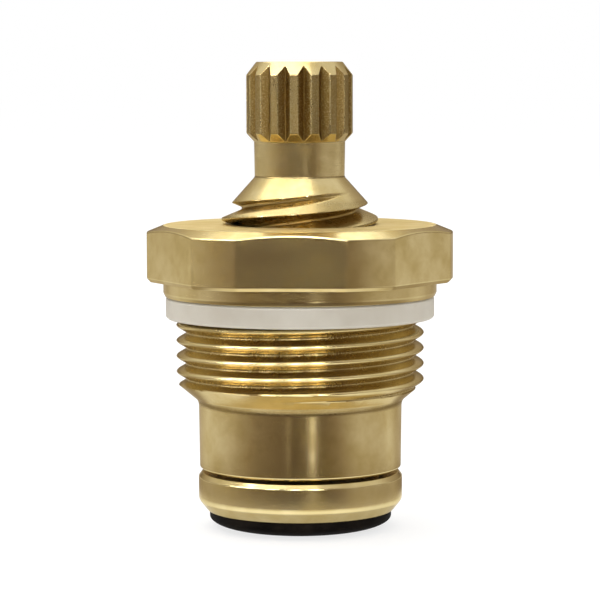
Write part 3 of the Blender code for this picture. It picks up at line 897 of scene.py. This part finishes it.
def makeScrew():
    # A turned profile, from which a box as wide and as deep as the slot, and longer than the
    # head is wide, is cut away.
    s = screw
    turn = spacedTurn([0, 360], s["turnStep"])
    shank = easedProfile(turn, [
        (s["headRadius"], s["headBottom"] + s["chamfer"], 0),
        (s["headRadius"], s["headTop"], 0.10),
        (s["shankRadius"], s["headTop"], 0.08),
        (s["shankRadius"], s["shankTop"] - s["chamfer"], 0.05),
        (s["shankRadius"] - s["chamfer"], s["shankTop"], 0.05),
        (0, s["shankTop"], 0),
    ])
    cap = easedProfile(turn, [
        (0, s["headBottom"], 0),
        (s["headRadius"] - s["chamfer"], s["headBottom"], 0.10),
        (s["headRadius"], s["headBottom"] + s["chamfer"], 0),
    ])
    made = meshFromGrids("seat_screw", turn, [cap, shank], [turnedBrass])
    cutter = bpy.data.meshes.new("slot_cutter")
    reach, half = s["headRadius"] + 1, s["slotHalf"]
    low, high = s["headBottom"] - 1, s["headBottom"] + s["slotDepth"]
    corners = np.array([(x, y, z) for x in (-reach, reach) for y in (-half, half)
                        for z in (low, high)])
    sides = [(0, 1, 3, 2), (4, 6, 7, 5), (0, 4, 5, 1), (2, 3, 7, 6), (0, 2, 6, 4), (1, 5, 7, 3)]
    cutter.from_pydata(corners * millimetre, [], sides)
    tool = bpy.data.objects.new("slot_cutter", cutter)
    bpy.context.scene.collection.objects.link(tool)
    cut = made.modifiers.new("slot", "BOOLEAN")
    cut.object, cut.operation, cut.solver = tool, "DIFFERENCE", "EXACT"
    bpy.context.view_layer.update()
    ready = made.evaluated_get(bpy.context.evaluated_depsgraph_get())
    slotted = bpy.data.meshes.new_from_object(ready)
    made.modifiers.clear()
    made.data = slotted
    slotted.set_sharp_from_angle(angle=sharpAngle)
    bpy.data.objects.remove(tool)
    return made


seatScrew = makeScrew()
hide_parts("washer_screw")
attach(seatScrew, "spindle")
print("screw done")

rings = {
    "radius": 7.5,
    "cord": 0.9,
    "flash": 0.03,
    "flashWidth": 0.12,                     # radians round the cord
    "cordPoints": 29,
    "turnStep": 3.0,
    "nodes": ("lower_o_ring", "upper_o_ring"),
}


def makeRing(node, height):
    # A round cord carried round the axis: radius = centre + cord cos, height = level + cord sin.
    # The cord is thicker by the moulding's flash at its outer side.
    r = rings
    turn = spacedTurn([0, 360], r["turnStep"])
    section = np.linspace(0, 2 * math.pi, r["cordPoints"])
    outer = (section + math.pi) % (2 * math.pi) - math.pi
    cord = r["cord"] - r["flash"] + r["flash"] * np.exp(-(outer / r["flashWidth"]) ** 2)
    columns = np.ones(len(turn))
    radius = (r["radius"] + cord * np.cos(section))[:, None] * columns
    level = (height + cord * np.sin(section))[:, None] * columns
    ring = np.stack([radius, level, 0 * radius, 0 * radius], axis=-1)
    made = meshFromGrids(node.replace("o_ring", "seal"), turn, [ring], [blackRubber])
    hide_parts(node)
    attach(made, "spindle")


for node, height in zip(rings["nodes"], spindle["ringGrooves"]):
    makeRing(node, height)
print("sealing rings done")

# Angles are in degrees, places in metres, and the lens and sensor in millimetres.
studio = {
    "azimuth": 3.45,
    "elevation": 4.9,
    "roll": 0.15,
    "distance": 0.271,
    "lens": 158.5,
    "aim": (0, 0, 0.02335),
    "sensor": 36,
    "clipStart": 0.01,
    "skyLevel": 0.85,
    "lampHeight": 0.5,
    "floorReach": 4.0,
    "floorTone": (0.85, 0.85, 0.85, 1),
    "floorGlow": (0.9, 0.25),               # its own light, and how much more the camera sees
    "floorGlowShare": 0.65,
    "roomStep": 0.25,
    "roomWarmth": (0.18, 0.42),             # how fast green and blue fall as the room darkens
}

# Softboxes over the object: name, width, depth, place, power
lamps = [
    ("softbox", 0.52, 0.53, (-0.12, 0.035), 1.5),
    ("backSoftbox", 0.52, 0.27, (-0.12, 0.435), 0.60),
]

# What the brass sees round the camera's height, by degrees to the right of the camera:
# a dark room in front and pale walls to the sides.
roomWalls = [
    (-180, 0.60), (-150, 0.66), (-124, 0.92), (-100, 0.86), (-80, 0.72), (-66, 0.50), (-56, 0.40),
    (-46, 0.28), (-20, 0.19), (-11, 0.17), (-9, 0.11), (-3, 0.11), (-1, 0.16), (24, 0.18),
    (40, 0.34), (55, 0.64), (66, 0.76), (101, 0.78), (112, 0.92), (120, 0.84), (130, 0.64),
    (150, 0.60), (180, 0.60),
]

# Windows: from and to in the same degrees, level in the floor's shine, level high on the wall
roomWindows = [
    (-81.5, -80, 0, 26), (-75.5, -74, 0, 26), (-61, -58.5, 0, 26), (-36.5, -33.5, 0, 26),
    (-14, -10.5, 0.3, 0.8), (-8, -4.5, 0, 26), (10.5, 14.5, 2.4, 0), (15, 19, 0, 26),
]

# Rows of the room: radius, height, share of the low windows, share of the high ones, and how
# far the walls fade to white, or below nought to black
roomRows = [
    (0.0115, 0.0004, 0, 0, 1.5), (0.022, 0.0004, 0, 0, 1.5), (0.0265, 0.0005, 0, 0, -0.45),
    (0.037, 0.0005, 0, 0, -0.45), (0.045, 0.0005, 0.3, 0, -0.1), (0.06, 0.0005, 1, 0, 0),
    (0.10, 0.0005, 1, 0, 0), (0.16, 0.0006, 0.4, 0, 0), (0.28, 0.0007, 0, 0, -0.05),
    (0.58, 0.001, 0, 0, -0.05), (0.62, 0.006, 0.8, 0, 0.36), (0.655, 0.014, 0.8, 0, 0.36),
    (0.68, 0.022, 0.1, 0, -0.72), (0.80, 0.08, 0.1, 0, -0.72), (0.84, 0.13, 0.2, 0.2, -0.5),
    (0.85, 0.18, 0, 1, -0.3), (0.86, 0.50, 0, 1, 0), (0.84, 0.58, 0, 0.2, 0.2),
    (0.80, 0.66, 0, 0, 1),
]

# A hood that carries the front of the room up, from and to in degrees, and its rows
hoodSpan = (-85, 85)
hoodRows = [
    (0.78, 0.44, 0, 1, -0.1), (0.74, 0.62, 0, 1, -0.1), (0.64, 0.78, 0, 1, 0),
    (0.60, 0.84, 0, 0.2, 0.1), (0.56, 0.90, 0, 0, 0.6),
]


def lightMaterial(name):
    material = bpy.data.materials.new(name)
    material.use_nodes = True
    material.node_tree.nodes.remove(material.node_tree.nodes["Principled BSDF"])
    return material, material.node_tree, material.node_tree.nodes["Material Output"]


def seenDirectly(tree):
    # 1 for camera, glossy and transmission rays, 0 for the light that falls on the object.
    path = addNode(tree, "ShaderNodeLightPath", {}).outputs
    seen = mathNode(tree, "MAXIMUM", path["Is Camera Ray"], path["Is Glossy Ray"])
    return mathNode(tree, "MAXIMUM", seen, path["Is Transmission Ray"])


def makeFloor():
    mesh = bpy.data.meshes.new("floor")
    reach = studio["floorReach"]
    corners = [(-reach, -reach, 0), (reach, -reach, 0), (reach, reach, 0), (-reach, reach, 0)]
    mesh.from_pydata(corners, [], [(0, 1, 2, 3)])
    material, tree, output = lightMaterial("paleFloor")
    matt = addNode(tree, "ShaderNodeBsdfDiffuse", {"Color": studio["floorTone"]}).outputs[0]
    path = addNode(tree, "ShaderNodeLightPath", {}).outputs
    own, more = studio["floorGlow"]
    level = mathNode(tree, "MULTIPLY_ADD", path["Is Camera Ray"], more, own)
    white = addNode(tree, "ShaderNodeEmission", {"Strength": level}).outputs[0]
    share = mathNode(tree, "MULTIPLY", seenDirectly(tree), studio["floorGlowShare"])
    mixed = addNode(tree, "ShaderNodeMixShader", {0: share, 1: matt, 2: white}).outputs[0]
    tree.links.new(mixed, output.inputs["Surface"])
    mesh.materials.append(material)
    floor = bpy.data.objects.new("floor", mesh)
    bpy.context.scene.collection.objects.link(floor)


def makeRoom(name, start, end, givenRows):
    # A part of a bowl round the object: radius and height by row, level by angle from the walls
    # and the windows. Each row's fade takes the walls towards white, or below nought to black.
    step = studio["roomStep"]
    degrees = np.arange(start, end + step, step)
    turn = np.radians(degrees - 90 + studio["azimuth"])
    radius, height, lowShare, highShare, fade = np.array(givenRows).T[:, :, None]
    points = np.stack([radius * np.cos(turn), radius * np.sin(turn), height + 0 * turn], axis=-1)
    shade = np.interp(degrees, *np.array(roomWalls).T) + 0 * radius
    for first, last, low, high in roomWindows:
        within = (degrees >= first) & (degrees <= last)
        shade = shade + within * (low * lowShare + high * highShare)
    shade = shade * (1 + np.minimum(fade, 0)) + (1 - shade) * np.maximum(fade, 0)
    dim = np.minimum(shade, 1)
    greenFall, blueFall = studio["roomWarmth"]
    green, blue = shade * dim ** greenFall, shade * dim ** blueFall
    tones = np.stack([shade, green, blue, np.ones_like(shade)], axis=-1)
    rows, columns = shade.shape
    index = np.arange(rows * columns).reshape(rows, columns)
    faces = np.stack([index[:-1, :-1], index[1:, :-1], index[1:, 1:], index[:-1, 1:]], axis=-1)
    mesh = bpy.data.meshes.new(name)
    mesh.from_pydata(points.reshape(-1, 3), [], faces.reshape(-1, 4))
    mesh.attributes.new("level", "FLOAT_COLOR", "POINT").data.foreach_set("color", tones.ravel())
    material, tree, output = lightMaterial(name + "Glow")
    tone = addNode(tree, "ShaderNodeAttribute", {}, attribute_name="level").outputs["Color"]
    glow = addNode(tree, "ShaderNodeEmission", {"Color": tone}).outputs[0]
    tree.links.new(glow, output.inputs["Surface"])
    mesh.materials.append(material)
    room = bpy.data.objects.new(name, mesh)
    bpy.context.scene.collection.objects.link(room)
    room.visible_camera = False
    room.visible_diffuse = False
    room.visible_transmission = False
    room.visible_shadow = False


def makeLight():
    world = bpy.data.worlds.new("studioWorld")
    bpy.context.scene.world = world
    world.use_nodes = True
    tree = world.node_tree
    rest = studio["skyLevel"]
    strength = mathNode(tree, "MULTIPLY_ADD", seenDirectly(tree), 1 - rest, rest)
    tree.nodes["Background"].inputs["Color"].default_value = (1, 1, 1, 1)
    tree.links.new(strength, tree.nodes["Background"].inputs["Strength"])
    for name, width, depth, place, power in lamps:
        lamp = bpy.data.lights.new(name, "AREA")
        lamp.shape = "RECTANGLE"
        lamp.size, lamp.size_y = width, depth
        lamp.energy = power
        softbox = bpy.data.objects.new(name, lamp)
        softbox.location = (*place, studio["lampHeight"])
        softbox.visible_camera = False
        bpy.context.scene.collection.objects.link(softbox)


def makeCamera():
    azimuth, elevation = math.radians(studio["azimuth"]), math.radians(studio["elevation"])
    level = math.cos(elevation)
    away = Vector((math.sin(azimuth) * level, -math.cos(azimuth) * level, math.sin(elevation)))
    camera = bpy.data.objects.new("camera", bpy.data.cameras.new("camera"))
    bpy.context.scene.collection.objects.link(camera)
    turned = (Matrix.Rotation(azimuth, 4, "Z") @ Matrix.Rotation(math.pi / 2 - elevation, 4, "X")
              @ Matrix.Rotation(-math.radians(studio["roll"]), 4, "Z"))
    stood = Vector(studio["aim"]) + away * studio["distance"]
    camera.matrix_world = Matrix.Translation(stood) @ turned
    camera.data.lens = studio["lens"]
    camera.data.sensor_width = studio["sensor"]
    camera.data.clip_start = studio["clipStart"]
    bpy.context.scene.camera = camera


makeFloor()
makeRoom("room", -180, 180, roomRows)
makeRoom("roomHood", *hoodSpan, hoodRows)
makeLight()
makeCamera()
bpy.context.scene.view_settings.view_transform = "Standard"
print("studio done")
